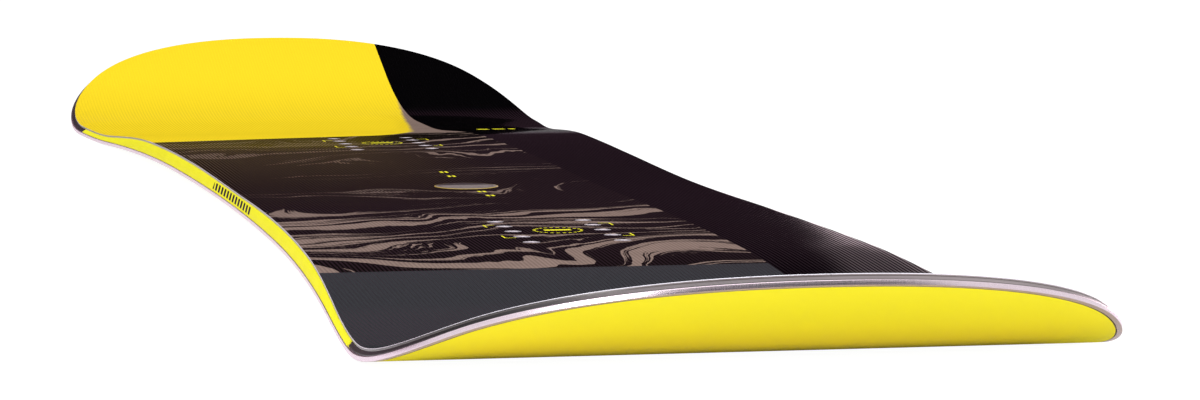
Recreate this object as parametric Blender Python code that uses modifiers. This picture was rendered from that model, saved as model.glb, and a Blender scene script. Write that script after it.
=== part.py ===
"""Snowboard built up from its layers, a twin tip of 134 cm for a light rider.

Metres, +Z up, nose along +X and the rider's left hand side along +Y. The origin lies on the snow under
the middle of the board. Every layer is drawn flat, as a board maker draws it, with s along the base from
the middle of the board, y across it and h up from the face of the base, and bend() lays it on the camber
and the turned up tips.
"""

import math

import bmesh
import bpy
import numpy as np
from mathutils import Matrix, Vector

# Outline, measured flat along the base
BOARD_LENGTH = 1.338
WAIST_WIDTH = 0.232
SIDECUT_RADIUS = 5.4
TIP_LENGTH = 0.2225
TIP_FULLNESS = 3.0
TIP_SQUARENESS = 2.2
TIP_STEPS = 15
TIP_END_HALF = 0.0005

# Side profile: flat between the feet, camber, contact, then the kick of the tips
CAMBER_HEIGHT = 0.0056
CAMBER_FLAT = 0.36
CONTACT_LENGTH = 0.92
CONTACT_BLEND = 0.06
KICK_LENGTH = 0.175
KICK_RADIUS = 0.315
KICK_ANGLE = math.radians(20.75)

# Layers, from the snow up
GLUE_LINE = 0.0003
BASE_THICKNESS = 0.0012
EDGE_WIDTH = 0.002
FLANGE_WIDTH = 0.0055
FLANGE_THICKNESS = 0.0005
BOTTOM_LAMINATE = 0.0005
STRIP_THICKNESS = 0.0003
CORE_MIDDLE = 0.004
CORE_UNDERFOOT = 0.0049
CORE_TIP = 0.001
CORE_TAPER_END = 0.219
CORE_TAPER_LENGTH = 0.165
TOP_LAMINATE = 0.00035
TOPSHEET = 0.00055

# Sides and tips
SIDEWALL_INSET = 0.0003
SIDEWALL_WIDTH = 0.008
SIDEWALL_BEVEL = 0.0018
TRIM_STEP = 0.0002
SPACER_LEDGE = 0.001
SPACER_LENGTH = 0.1835

# Core
STRINGERS_PER_SIDE = 4
STRINGER_MARGIN = 0.0025

# Binding inserts
STANCE_WIDTH = 0.457
STANCE_SETBACK = 0.014
INSERT_ROWS = 5
INSERT_ROW_SPACING = 0.02
INSERT_COLUMN_SPACING = 0.04
INSERT_BARREL_RADIUS = 0.004
INSERT_BORE_RADIUS = 0.0025
INSERT_FLOOR = 0.0008
INSERT_FLANGE_RADIUS = 0.0075
INSERT_FLANGE_THICKNESS = 0.001
INSERT_RECESS = 0.0002
PAD_MARGIN = 0.02
MAT_THICKNESS = 0.0003
MAT_MARGIN = 0.014
HOLE_SIDES = 12

# Badge
BADGE_RADIUS = 0.0155
BADGE_SIDES = 32

# Spacing of the cross sections along the board
STATION_STEP = 0.055
STATION_GAP = 0.009

# What follows from the sizes above
HALF_LENGTH = BOARD_LENGTH / 2
TIP_START = HALF_LENGTH - TIP_LENGTH
KICK_START = HALF_LENGTH - KICK_LENGTH
KICK_END = KICK_START + KICK_RADIUS * KICK_ANGLE
CONTACT = CONTACT_LENGTH / 2
CAMBER_START = CAMBER_FLAT / 2
CAMBER_TURN = CONTACT - CONTACT_BLEND
CORE_END = HALF_LENGTH - SPACER_LENGTH
TAPER_STOP = HALF_LENGTH - CORE_TAPER_END
TAPER_START = TAPER_STOP - CORE_TAPER_LENGTH
FLANGE_LOW = BASE_THICKNESS + GLUE_LINE
EDGE_HEIGHT = FLANGE_LOW + FLANGE_THICKNESS
LAMINATE_LOW = BASE_THICKNESS + GLUE_LINE
CORE_LOW = max(EDGE_HEIGHT, LAMINATE_LOW + BOTTOM_LAMINATE) + GLUE_LINE
STRIP_LOW = EDGE_HEIGHT + GLUE_LINE
RABBET_TOP = STRIP_LOW + STRIP_THICKNESS + GLUE_LINE
FLANGE_INSET = EDGE_WIDTH + FLANGE_WIDTH
SIDEWALL_TOP_INSET = SIDEWALL_INSET + SIDEWALL_BEVEL
TOP_INSET = SIDEWALL_TOP_INSET + TRIM_STEP
CORE_INSET = SIDEWALL_INSET + SIDEWALL_WIDTH + GLUE_LINE
PAD_HALF = (INSERT_ROWS - 1) / 2 * INSERT_ROW_SPACING + PAD_MARGIN
FRONT_PAD = STANCE_WIDTH / 2 - STANCE_SETBACK
REAR_PAD = -STANCE_WIDTH / 2 - STANCE_SETBACK
UNDERFOOT_START = min(FRONT_PAD, -REAR_PAD) - PAD_HALF
INNER_STRINGER = INSERT_COLUMN_SPACING / 2 + INSERT_FLANGE_RADIUS + STRINGER_MARGIN
MAT_HALF_WIDTH = INSERT_COLUMN_SPACING / 2 + INSERT_BARREL_RADIUS + MAT_MARGIN
MAT_HALF_LENGTH = (INSERT_ROWS - 1) / 2 * INSERT_ROW_SPACING + INSERT_BARREL_RADIUS + MAT_MARGIN

YELLOW = (0.86, 0.78, 0.03)
BLACK = (0.012, 0.010, 0.011)
STEEL = (0.62, 0.58, 0.64)
GLASS = (0.55, 0.60, 0.48)
RUBBER = (0.02, 0.02, 0.02)
PALE_WOOD = (0.66, 0.50, 0.30)
DARK_WOOD = (0.48, 0.31, 0.16)


def smooth(u):
    """Ease from 0 at u = 0 to 1 at u = 1."""
    u = min(max(u, 0.0), 1.0)
    return u * u * (3 - 2 * u)


def profile(s):
    """Place and slope angle of the base at a distance s along it from the middle of the board."""
    a = abs(s)
    steepest = 2 * CAMBER_HEIGHT / (CONTACT - CAMBER_START)
    x, z, slope, turn = a, 0.0, 0.0, 0.0
    if a < CAMBER_START:
        z = CAMBER_HEIGHT
    elif a < CAMBER_TURN:
        slope = -steepest * (a - CAMBER_START) / (CAMBER_TURN - CAMBER_START)
        z = CAMBER_HEIGHT + slope * (a - CAMBER_START) / 2
    elif a < CONTACT:
        slope = -steepest * (CONTACT - a) / CONTACT_BLEND
        z = -slope * (CONTACT - a) / 2
    if a > KICK_START:
        turn = min((a - KICK_START) / KICK_RADIUS, KICK_ANGLE)
        straight = max(a - KICK_END, 0.0)
        x = KICK_START + KICK_RADIUS * math.sin(turn) + straight * math.cos(turn)
        z = KICK_RADIUS * (1 - math.cos(turn)) + straight * math.sin(turn)
    side = -1.0 if s < 0 else 1.0
    return side * x, z, side * (math.atan(slope) + turn)


def bend(s, y, h):
    """Point of the finished board for a point of the flat drawing, h above the face of the base."""
    x, z, angle = profile(s)
    return Vector((x - h * math.sin(angle), y, z + h * math.cos(angle)))


def base_face(s):
    return 0.0


def core_height(s):
    """Height of the core, or of a tip spacer, at s."""
    a = abs(s)
    middle = CORE_MIDDLE + (CORE_UNDERFOOT - CORE_MIDDLE) * smooth(a / UNDERFOOT_START)
    return middle + (CORE_TIP - middle) * smooth((a - TAPER_START) / CORE_TAPER_LENGTH)


def core_top(s):
    return CORE_LOW + core_height(s)


def laminate_top(s):
    return core_top(s) + GLUE_LINE + TOP_LAMINATE


def board_top(s):
    return laminate_top(s) + GLUE_LINE + TOPSHEET


def tip_point(phi):
    """Outline point of the nose on the left, for phi from 0 at the sidecut to a quarter turn at the end."""
    s = TIP_START + TIP_LENGTH * math.sin(phi) ** (2 / TIP_FULLNESS)
    width = WAIST_WIDTH / 2 + s * s / (2 * SIDECUT_RADIUS)
    return s, width * math.cos(phi) ** (2 / TIP_SQUARENESS)


def offset_curve(inset):
    """Dense outline of the front left quarter, moved in by inset along its normals."""
    straight = np.linspace(0.0, TIP_START, 60)[:-1]
    points = [(s, WAIST_WIDTH / 2 + s * s / (2 * SIDECUT_RADIUS)) for s in straight]
    points += [tip_point(phi) for phi in np.linspace(0.0, math.pi / 2, 240)]
    points = np.array(points)
    along = np.gradient(points, axis=0)
    along /= np.linalg.norm(along, axis=1)[:, None]
    return points + inset * np.column_stack((along[:, 1], -along[:, 0]))


def key_stations():
    """Places where the profile, the thickness or the planform changes its law."""
    keys = [0.0, CAMBER_START, CAMBER_TURN, CONTACT, KICK_START, KICK_END, CORE_END]
    keys += [TAPER_STOP, FRONT_PAD - PAD_HALF, FRONT_PAD + PAD_HALF]
    keys += [-REAR_PAD - PAD_HALF, -REAR_PAD + PAD_HALF]
    return sorted(set(keys + [-key for key in keys]))


def inside_pad(s):
    """True strictly between the ends of a binding pad, which stays one flat face."""
    margin = STATION_GAP / 3
    return any(abs(s - pad) < PAD_HALF - margin for pad in (FRONT_PAD, REAR_PAD))


def shared_stations():
    """Cross sections of every layer between the straight ends of the tips."""
    stations = [key for key in key_stations() if not inside_pad(key)]
    phis = [math.pi / 2 * i / TIP_STEPS for i in range(1, TIP_STEPS)]
    tips = [tip_point(phi)[0] for phi in phis]
    tips = [s for s in tips if s < KICK_END]
    count = int(CONTACT / STATION_STEP)
    middle = [i * CONTACT / count for i in range(-count, count + 1)]
    for s in middle + tips + [-s for s in tips]:
        if not inside_pad(s) and min(abs(s - other) for other in stations) > STATION_GAP:
            stations.append(s)
    return sorted(stations)


STATIONS = shared_stations()
END_PHIS = [
    math.pi / 2 * i / TIP_STEPS
    for i in range(1, TIP_STEPS)
    if tip_point(math.pi / 2 * i / TIP_STEPS)[0] > KICK_END + STATION_GAP
]


def outline(inset, end_half=TIP_END_HALF):
    """Left half of the outline moved in by inset, from tail to nose, as (s, y) with matching places."""
    dense = offset_curve(inset)
    order = np.argsort(dense[:, 0], kind="stable")
    middle = [(s, float(np.interp(abs(s), dense[order, 0], dense[order, 1]))) for s in STATIONS]
    end = []
    step = 1e-4
    for phi in END_PHIS:
        before = tip_point(phi - step)
        after = tip_point(phi + step)
        ds, dy = after[0] - before[0], after[1] - before[1]
        size = math.hypot(ds, dy)
        s, y = tip_point(phi)
        end.append((s + inset * dy / size, y - inset * ds / size))
    end.append((HALF_LENGTH - inset, end_half))
    tail = [(-s, y) for s, y in reversed(end)]
    return tail + middle + end


def collection(name):
    made = bpy.data.collections.new(name)
    bpy.context.scene.collection.children.link(made)
    return made


for old in list(bpy.data.objects):
    bpy.data.objects.remove(old, do_unlink=True)
BOARD = collection("snowboard")
CUTTERS = collection("cutters")


def material(name, color, roughness, metallic=0.0):
    made = bpy.data.materials.new(name)
    made.use_nodes = True
    shader = made.node_tree.nodes["Principled BSDF"]
    shader.inputs["Base Color"].default_value = (*color, 1.0)
    shader.inputs["Roughness"].default_value = roughness
    shader.inputs["Metallic"].default_value = metallic
    return made


def add_object(name, mesh, finish=None, into=BOARD):
    made = bpy.data.objects.new(name, mesh)
    if finish:
        mesh.materials.clear()
        mesh.materials.append(finish)
    into.objects.link(made)
    return made


def loft(name, rings, finish):
    """Closed solid through a row of like rings, each a loop of points around one cross section."""
    shape = bmesh.new()
    loops = [[shape.verts.new(point) for point in ring] for ring in rings]
    count = len(rings[0])
    for first, second in zip(loops, loops[1:]):
        for i in range(count):
            j = (i + 1) % count
            shape.faces.new((first[i], first[j], second[j], second[i]))
    shape.faces.new(loops[0])
    shape.faces.new(loops[-1])
    bmesh.ops.recalc_face_normals(shape, faces=shape.faces)
    mesh = bpy.data.meshes.new(name)
    shape.to_mesh(mesh)
    shape.free()
    mesh.set_sharp_from_angle(angle=math.radians(30))
    return add_object(name, mesh, finish)


def sheet(name, low, high, low_inset, high_inset, finish, keep=None):
    """Layer across the whole width, between the heights low(s) and high(s)."""
    rings = []
    for below, above in zip(outline(low_inset), outline(high_inset)):
        if keep and not keep(below[0]):
            continue
        left_low = bend(below[0], below[1], low(below[0]))
        left_high = bend(above[0], above[1], high(above[0]))
        right_low = left_low * Vector((1, -1, 1))
        right_high = left_high * Vector((1, -1, 1))
        rings.append((left_low, right_low, right_high, left_high))
    return loft(name, rings, finish)


def strip(name, side, corners, finish, end=None, end_half=TIP_END_HALF):
    """Rail along one side: each corner of its section is an inset and a height, or a function of s."""
    lines = [outline(inset, end_half) for inset, _ in corners]
    rings = []
    for places in zip(*lines):
        if end and abs(places[0][0]) > end:
            continue
        ring = []
        for (s, y), (_, height) in zip(places, corners):
            h = height(s) if callable(height) else height
            ring.append(bend(s, side * y, h))
        rings.append(ring)
    return loft(name, rings, finish)


def pad_ends(middle, height):
    """Ends of a layer's flat face over a binding pad, on the middle line of the board."""
    return [bend(s, 0.0, height(s)) for s in (middle - PAD_HALF, middle + PAD_HALF)]


def pad_frame(middle, height):
    """Frame on a layer's face over a pad: origin at its middle, X along the flat face, Z up."""
    back, front = pad_ends(middle, height)
    along = (front - back).normalized()
    up = Vector((-along.z, 0.0, along.x))
    frame = Matrix((along, Vector((0, 1, 0)), up)).transposed().to_4x4()
    frame.translation = (back + front) / 2
    return frame


def face_height(frame, middle, height, along):
    """Height of a layer's flat face in the frame of a pad, at a place along it."""
    back, front = [frame.inverted() @ end for end in pad_ends(middle, height)]
    return back.lerp(front, (along - back.x) / (front.x - back.x)).z


def insert_places():
    """Rows along the board and the two columns of one insert pack."""
    for row in range(INSERT_ROWS):
        for column in (1, -1):
            along = (row - (INSERT_ROWS - 1) / 2) * INSERT_ROW_SPACING
            yield along, column * INSERT_COLUMN_SPACING / 2


def cylinder(name, places, radius, low, high, frame, sides):
    """Upright cylinders over the given places, as one cutter."""
    shape = bmesh.new()
    for along, across in places:
        place = Matrix.Translation((along, across, (low + high) / 2))
        bmesh.ops.create_cone(
            shape, cap_ends=True, segments=sides, radius1=radius, radius2=radius, depth=high - low, matrix=place
        )
    mesh = bpy.data.meshes.new(name)
    shape.to_mesh(mesh)
    shape.free()
    made = add_object(name, mesh, into=CUTTERS)
    made.matrix_world = frame
    made.hide_render = True
    made.display_type = "WIRE"
    return made


def block(name, size, middle, frame, finish=None):
    """Box of the given size around a point of a frame, a cutter unless it has a finish."""
    shape = bmesh.new()
    bmesh.ops.create_cube(shape, size=1.0, matrix=Matrix.Translation(middle) @ Matrix.Diagonal((*size, 1.0)))
    mesh = bpy.data.meshes.new(name)
    shape.to_mesh(mesh)
    shape.free()
    made = add_object(name, mesh, finish, BOARD if finish else CUTTERS)
    made.matrix_world = frame
    if not finish:
        made.hide_render = True
        made.display_type = "WIRE"
    return made


def cut(target, cutters):
    for cutter in cutters:
        modifier = target.modifiers.new(cutter.name, "BOOLEAN")
        modifier.operation = "DIFFERENCE"
        modifier.solver = "EXACT"
        modifier.object = cutter


yellow_base = material("yellow_base", YELLOW, 0.35)
edge_steel = material("edge_steel", STEEL, 0.28, 1.0)
yellow_plastic = material("yellow_plastic", YELLOW, 0.45)
black_plastic = material("black_plastic", BLACK, 0.4)
glass_laminate = material("glass_laminate", GLASS, 0.5)
strip_rubber = material("strip_rubber", RUBBER, 0.8)
pale_wood = material("pale_wood", PALE_WOOD, 0.6)
dark_wood = material("dark_wood", DARK_WOOD, 0.6)
insert_steel = material("insert_steel", STEEL, 0.3, 1.0)
topsheet_gloss = material("topsheet_gloss", BLACK, 0.2)
badge_silver = material("badge_silver", (0.7, 0.7, 0.72), 0.3, 1.0)


def make_base():
    sheet(
        "base_sheet",
        base_face,
        lambda s: BASE_THICKNESS,
        EDGE_WIDTH + GLUE_LINE,
        EDGE_WIDTH + GLUE_LINE,
        yellow_base,
    )
    corners = (
        (0.0, 0.0),
        (0.0, EDGE_HEIGHT),
        (FLANGE_INSET, EDGE_HEIGHT),
        (FLANGE_INSET, FLANGE_LOW),
        (EDGE_WIDTH, FLANGE_LOW),
        (EDGE_WIDTH, 0.0),
    )
    for word, side in (("left", 1), ("right", -1)):
        strip("steel_edge_" + word, side, corners, edge_steel, end_half=GLUE_LINE / 2)
    inset = FLANGE_INSET + GLUE_LINE
    sheet(
        "bottom_laminate",
        lambda s: LAMINATE_LOW,
        lambda s: LAMINATE_LOW + BOTTOM_LAMINATE,
        inset,
        inset,
        glass_laminate,
    )


def make_sides():
    rail = (
        (SIDEWALL_INSET, CORE_LOW),
        (SIDEWALL_TOP_INSET, core_top),
        (SIDEWALL_INSET + SIDEWALL_WIDTH, core_top),
        (SIDEWALL_INSET + SIDEWALL_WIDTH, RABBET_TOP),
        (EDGE_WIDTH, RABBET_TOP),
        (EDGE_WIDTH, CORE_LOW),
    )
    strip_corners = (
        (EDGE_WIDTH + GLUE_LINE, STRIP_LOW),
        (EDGE_WIDTH + GLUE_LINE, STRIP_LOW + STRIP_THICKNESS),
        (FLANGE_INSET, STRIP_LOW + STRIP_THICKNESS),
        (FLANGE_INSET, STRIP_LOW),
    )
    for word, side in (("left", 1), ("right", -1)):
        strip("sidewall_" + word, side, rail, yellow_plastic, end=CORE_END)
        strip("damping_strip_" + word, side, strip_corners, strip_rubber, end=CORE_END)
    for word, side in (("nose", 1), ("tail", -1)):
        sheet(
            word + "_spacer",
            lambda s: CORE_LOW,
            core_top,
            SPACER_LEDGE,
            SIDEWALL_TOP_INSET,
            black_plastic,
            keep=lambda s, side=side: side * s >= CORE_END,
        )


def stringer_bounds():
    """Distances from the middle line at which one stringer of the core meets the next."""
    core_half = WAIST_WIDTH / 2 - CORE_INSET
    count = STRINGERS_PER_SIDE - 1
    return [0.0] + [INNER_STRINGER + (core_half - INNER_STRINGER) * k / count for k in range(count)]


def make_core(cutters):
    bounds = stringer_bounds()
    edge = [(s, y) for s, y in outline(CORE_INSET) if abs(s) <= CORE_END]
    for word, side in (("left", 1), ("right", -1)):
        for i, inner in enumerate(bounds):
            rings = []
            for s, y in edge:
                outer = bounds[i + 1] - GLUE_LINE / 2 if i + 1 < len(bounds) else y
                start = inner + GLUE_LINE / 2
                # The core stops a glue line short of the tip spacers
                short = max(abs(s) - (CORE_END - GLUE_LINE), 0.0)
                place = s - math.copysign(short, s)
                corners = ((start, CORE_LOW), (outer, CORE_LOW), (outer, core_top(s)), (start, core_top(s)))
                rings.append([bend(place, side * across, h) for across, h in corners])
            wood = dark_wood if i % 2 else pale_wood
            stringer = loft(f"core_stringer_{word}_{i + 1}", rings, wood)
            reach = INSERT_COLUMN_SPACING / 2 + INSERT_FLANGE_RADIUS
            cut(stringer, cutters if inner < reach else cutters[-2:])


def make_top():
    laminate = sheet(
        "top_laminate",
        lambda s: core_top(s) + GLUE_LINE,
        laminate_top,
        TOP_INSET,
        TOP_INSET,
        glass_laminate,
    )
    top = sheet(
        "topsheet",
        lambda s: laminate_top(s) + GLUE_LINE,
        board_top,
        TOP_INSET,
        TOP_INSET,
        topsheet_gloss,
    )
    return laminate, top


def make_insert(name, frame, height):
    """Blind threaded insert: a flange under the core and a barrel up to the topsheet."""
    profile_points = (
        (0.0, INSERT_FLOOR),
        (INSERT_BORE_RADIUS, INSERT_FLOOR),
        (INSERT_BORE_RADIUS, height),
        (INSERT_BARREL_RADIUS, height),
        (INSERT_BARREL_RADIUS, INSERT_FLANGE_THICKNESS),
        (INSERT_FLANGE_RADIUS, INSERT_FLANGE_THICKNESS),
        (INSERT_FLANGE_RADIUS, 0.0),
        (0.0, 0.0),
    )
    mesh = bpy.data.meshes.new(name)
    count = len(profile_points)
    edges = [(i, i + 1) for i in range(count - 1)]
    mesh.from_pydata([(r, 0.0, z) for r, z in profile_points], edges, [])
    made = add_object(name, mesh, insert_steel)
    turn = made.modifiers.new("turn", "SCREW")
    turn.axis = "Z"
    turn.angle = 2 * math.pi
    turn.steps = HOLE_SIDES
    turn.render_steps = HOLE_SIDES
    turn.use_merge_vertices = True
    turn.merge_threshold = 0.00005
    made.matrix_world = frame
    return made


def make_pad(word, middle):
    """One insert pack with its mat. Returns the cutters of its barrels, flanges and mat pocket."""
    frame = pad_frame(middle, base_face)
    core_frame = pad_frame(middle, core_top)
    places = list(insert_places())
    hole = INSERT_BARREL_RADIUS + GLUE_LINE
    pocket = INSERT_FLANGE_RADIUS + GLUE_LINE
    over = 0.01
    high = board_top(middle) + over
    barrels = cylinder(word + "_barrel_holes", places, hole, CORE_LOW + GLUE_LINE, high, frame, HOLE_SIDES)
    flange_top = CORE_LOW + INSERT_FLANGE_THICKNESS + GLUE_LINE
    flanges = cylinder(word + "_flange_holes", places, pocket, 0.0, flange_top, frame, HOLE_SIDES)
    mat_size = (2 * MAT_HALF_LENGTH, 2 * MAT_HALF_WIDTH, MAT_THICKNESS)
    mat = block("binding_mat_" + word, mat_size, (0, 0, -MAT_THICKNESS / 2), core_frame, glass_laminate)
    cut(mat, [barrels])
    room = (mat_size[0] + 2 * GLUE_LINE, mat_size[1] + 2 * GLUE_LINE, over)
    floor = -MAT_THICKNESS - GLUE_LINE
    mat_room = block(word + "_mat_pocket", room, (0, 0, floor + over / 2), core_frame)
    for number, (along, across) in enumerate(places, 1):
        place = frame @ Matrix.Translation((along, across, CORE_LOW))
        height = face_height(frame, middle, board_top, along) - INSERT_RECESS - CORE_LOW
        make_insert(f"insert_{word}_{number:02d}", place, height)
    return barrels, flanges, mat_room


def make_badge(top):
    """Round badge let into the topsheet at the middle of the board."""
    low = laminate_top(0.0) + GLUE_LINE
    frame = Matrix.Translation(bend(0.0, 0.0, 0.0))
    over = 0.01
    recess = cylinder("badge_hole", [(0, 0)], BADGE_RADIUS + GLUE_LINE, low - over, low + over, frame, BADGE_SIDES)
    cut(top, [recess])
    shape = bmesh.new()
    place = Matrix.Translation((0, 0, low + TOPSHEET / 2))
    bmesh.ops.create_cone(
        shape, cap_ends=True, segments=BADGE_SIDES, radius1=BADGE_RADIUS, radius2=BADGE_RADIUS, depth=TOPSHEET, matrix=place
    )
    mesh = bpy.data.meshes.new("centre_badge")
    shape.to_mesh(mesh)
    shape.free()
    add_object("centre_badge", mesh, badge_silver).matrix_world = frame


def make_board():
    make_base()
    make_sides()
    laminate, top = make_top()
    front = make_pad("front", FRONT_PAD)
    rear = make_pad("rear", REAR_PAD)
    cut(laminate, [front[0], rear[0]])
    cut(top, [front[0], rear[0]])
    make_core([front[0], rear[0], front[1], rear[1], front[2], rear[2]])
    make_badge(top)


make_board()
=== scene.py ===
"""Looks of the snowboard: smooth layers, printed topsheet, steel edges, inserts and badge, with a studio.

Metres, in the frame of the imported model: nose along +X, +Z up. Each layer is drawn flat, as a board maker
draws it, with s along the base, y across it and h up from the face of the base, and bend() lays it on the
camber and the turned up tips. Every piece keeps its drawing coordinates for its finish.
"""

import math

import bmesh
import bpy
from mathutils import Matrix, Vector


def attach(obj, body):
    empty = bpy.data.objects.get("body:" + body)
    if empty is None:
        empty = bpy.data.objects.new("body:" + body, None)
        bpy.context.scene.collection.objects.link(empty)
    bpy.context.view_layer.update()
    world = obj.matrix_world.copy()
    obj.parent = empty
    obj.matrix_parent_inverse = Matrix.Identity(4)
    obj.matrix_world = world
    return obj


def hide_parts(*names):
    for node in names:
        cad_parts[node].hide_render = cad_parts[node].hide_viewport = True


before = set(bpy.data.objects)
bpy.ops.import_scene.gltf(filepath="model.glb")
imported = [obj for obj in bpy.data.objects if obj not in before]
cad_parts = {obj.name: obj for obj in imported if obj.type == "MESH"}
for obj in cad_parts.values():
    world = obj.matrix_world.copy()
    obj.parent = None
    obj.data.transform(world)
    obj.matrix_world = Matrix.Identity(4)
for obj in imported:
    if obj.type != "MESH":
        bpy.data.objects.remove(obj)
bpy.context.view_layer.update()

# Outline, measured flat along the base
BOARD_LENGTH = 1.338
WAIST_WIDTH = 0.232
SIDECUT_RADIUS = 5.4
TIP_LENGTH = 0.2225
TIP_FULLNESS = 3.0
TIP_SQUARENESS = 2.2
HALF_LENGTH = BOARD_LENGTH / 2
TIP_START = HALF_LENGTH - TIP_LENGTH
MIDDLE_STEPS = 150
TIP_STEPS = 90
TIP_SPACING = 1.5

# Side profile: flat between the feet, camber, contact, then the kick of the tips
CAMBER_HEIGHT = 0.0056
CAMBER_START = 0.18
CONTACT = 0.46
CONTACT_BLEND = 0.06
CAMBER_TURN = CONTACT - CONTACT_BLEND
KICK_LENGTH = 0.175
KICK_RADIUS = 0.315
KICK_ANGLE = math.radians(20.75)
KICK_START = HALF_LENGTH - KICK_LENGTH
KICK_END = KICK_START + KICK_RADIUS * KICK_ANGLE

# Layers, from the snow up, with the resin between them as a thin seam
SEAM = 0.00002
BASE_THICKNESS = 0.0012
BASE_SEAM = 0.0003
BASE_MARGIN = 0.00025
SOFT_EDGE = 0.00008
EDGE_WIDTH = 0.002
EDGE_HEIGHT = 0.002
EDGE_WEAR = 0.0001
FLANGE_LOW = 0.0015
FLANGE_INSET = 0.0075
LAMINATE_LOW = 0.0015
LAMINATE_INSET = 0.0078
CORE_LOW = 0.0023
CORE_MIDDLE = 0.004
CORE_UNDERFOOT = 0.0049
CORE_TIP = 0.001
UNDERFOOT_START = 0.1545
TAPER_START = 0.285
TAPER_LENGTH = 0.165
RESIN = 0.00045
TOP_LAMINATE = 0.00035
TOPSHEET = 0.0007

# Sides and tips
SIDEWALL_INSET = 0.0003
SIDEWALL_WIDTH = 0.008
SIDEWALL_TOP_INSET = 0.0021
SIDEWALL_STEP = 0.0002
SLANT_HEIGHT = 0.00012
SLANT_OUT = 0.00006
SLANT_IN = 0.00004
TOP_INSET = 0.0023
SPACER_LEDGE = 0.001
SPACER_STEP = 0.0001
CORE_END = 0.4855
STRIP_LOW = 0.0023
STRIP_HIGH = 0.0026
RABBET_TOP = 0.0029

# Binding inserts and badge
STANCE_WIDTH = 0.457
STANCE_SETBACK = 0.014
FRONT_PAD = STANCE_WIDTH / 2 - STANCE_SETBACK
REAR_PAD = -STANCE_WIDTH / 2 - STANCE_SETBACK
ROW_SPACING = 0.02
COLUMN_SPACING = 0.04
BARREL_RADIUS = 0.004
HOLE_RADIUS = 0.0043
BORE_FROM = 0.003
BORE_TO = 0.02
THREAD_CREST = 0.0025
THREAD_ROOT = 0.0029
THREAD_PITCH = 0.001
INSERT_FLOOR = 0.0008
FLANGE_RADIUS = 0.0075
FLANGE_THICKNESS = 0.001
INSERT_RECESS = 0.0002
INSERT_LEAD = 0.0004
INSERT_CHAMFER = 0.00025
BADGE_RADIUS = 0.0155
BADGE_RISE = 0.00015
BADGE_SEAM = 0.00008

# Print of the topsheet: its fields along and across the board
SIDE_BAND = 0.064
NOSE_BLOCK = 0.332
TAIL_BLOCK = -0.285
TAIL_BORDER = -0.302
TAIL_SLANT = -0.25
TAIL_CURVE = 741.0
TAIL_CURVE_START = -0.005

# Glass cloths: their pitches, and how far out the lower and upper laminate take the sidewall's colour
WEAVE_PITCH = 0.001825
LAMINATE_PITCH = 0.0024
LAMINATE_STAIN = 0.098
MAT_PITCH = 0.004

# Marbling: scale and reach of each round of swirls, the noises along the flow and the pale ink's soft edge
SWIRLS = ((7.0, 0.20), (21.0, 0.05), (70.0, 0.008))
FLOW_SLANT = 0.22
LAYER_SCALE = 48.0
VEIN_SCALE = 230.0
GRAIN_SCALE = 260.0
PATCH_SCALE = 13.0
PALE_FRINGE = (0.63, 0.655)

# Small prints, as distances along and across the board from the middle of their insert pack
BRACKET_CORNER = (0.0255, 0.0288)
BRACKET_SIDE = (0.0165, 0.0280)
BRACKET_END = (0.0247, 0.0235)
TICK_RING = (0.0099, 0.0111)
TICK_COUNT = 24
TICK_SHARE = 0.55
PACK_BAR_MIDDLE = -0.001
PACK_BAR_HALF = (0.0022, 0.0060)

# Small prints beside the badge, at the tail and on the left sidewall
PAIRS_MIDDLE = -0.010
PAIRS_DISTANCE = 0.050
PAIRS_SPAN = (0.0075, 0.0135)
PAIRS_OFFSET = 0.0019
PAIRS_HALF = 0.0027
PAIRS_PITCH = 0.0025
PAIRS_SHARE = 0.62
DASHES = ((-0.4235, 0.0860), (-0.4130, 0.1085))
DASH_PITCH = 0.0094
DASH_SHARE = 0.72
SIDE_BARS = ((-0.060, 0.0030), (0.072, 0.0062))
SIDE_BAR_PITCH = 0.0098
SIDE_BAR_SHARE = 0.58
SIDE_BAR_LEAN = 0.9

# Colours, linear
PRINT_YELLOW = (0.835, 0.598, 0.018)
PLASTIC_YELLOW = (0.97, 0.91, 0.033)
BASE_YELLOW = (0.80, 0.72, 0.022)
INK_BLACK = (0.0014, 0.0011, 0.0014)
MARBLE_DARK = (0.0040, 0.0026, 0.0026)
MARBLE_TAUPE = (0.235, 0.165, 0.140)
CHARCOAL = (0.034, 0.034, 0.039)
# Gold of the painted reflection of the yellow tail in the cloth's threads
GOLD_REFLECTION = (0.150, 0.100, 0.035)
WEAVE_GAP = (0.0020, 0.0010, 0.0004)
MARK_YELLOW = (0.88, 0.80, 0.03)
SPACER_BLACK = (0.02, 0.017, 0.018)
EDGE_STEEL = (0.76, 0.635, 0.705)
# Edge of the topsheet: partly its own pale colour, partly a painted highlight of its bevel
RIM_LILAC_HIGHLIGHT = (0.72, 0.66, 0.74)

# Meshes: half width left at the ends of a layer, steps round a turned piece and angles that stay sharp
SHEET_END_HALF = 0.0001
EDGE_END_HALF = 0.00002
ROUND_SEGMENTS = 48
BADGE_SEGMENTS = 96
LAYER_SHARP = math.radians(28)
TURNED_SHARP = math.radians(35)

# Studio: the floor, the shade under the raised nose as spans of y and x, and the light of the background
FLOOR_SIZE = 60.0
FLOOR_HEIGHT = -0.0002
SHADE_SIDE = (0.10, 0.13)
SHADE_REAR = (0.42, 0.47)
SHADE_FADE = (0.545, 0.580)
SHADE_FRONT = (0.59, 0.64)
WORLD_LIGHT = 0.52

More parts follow.
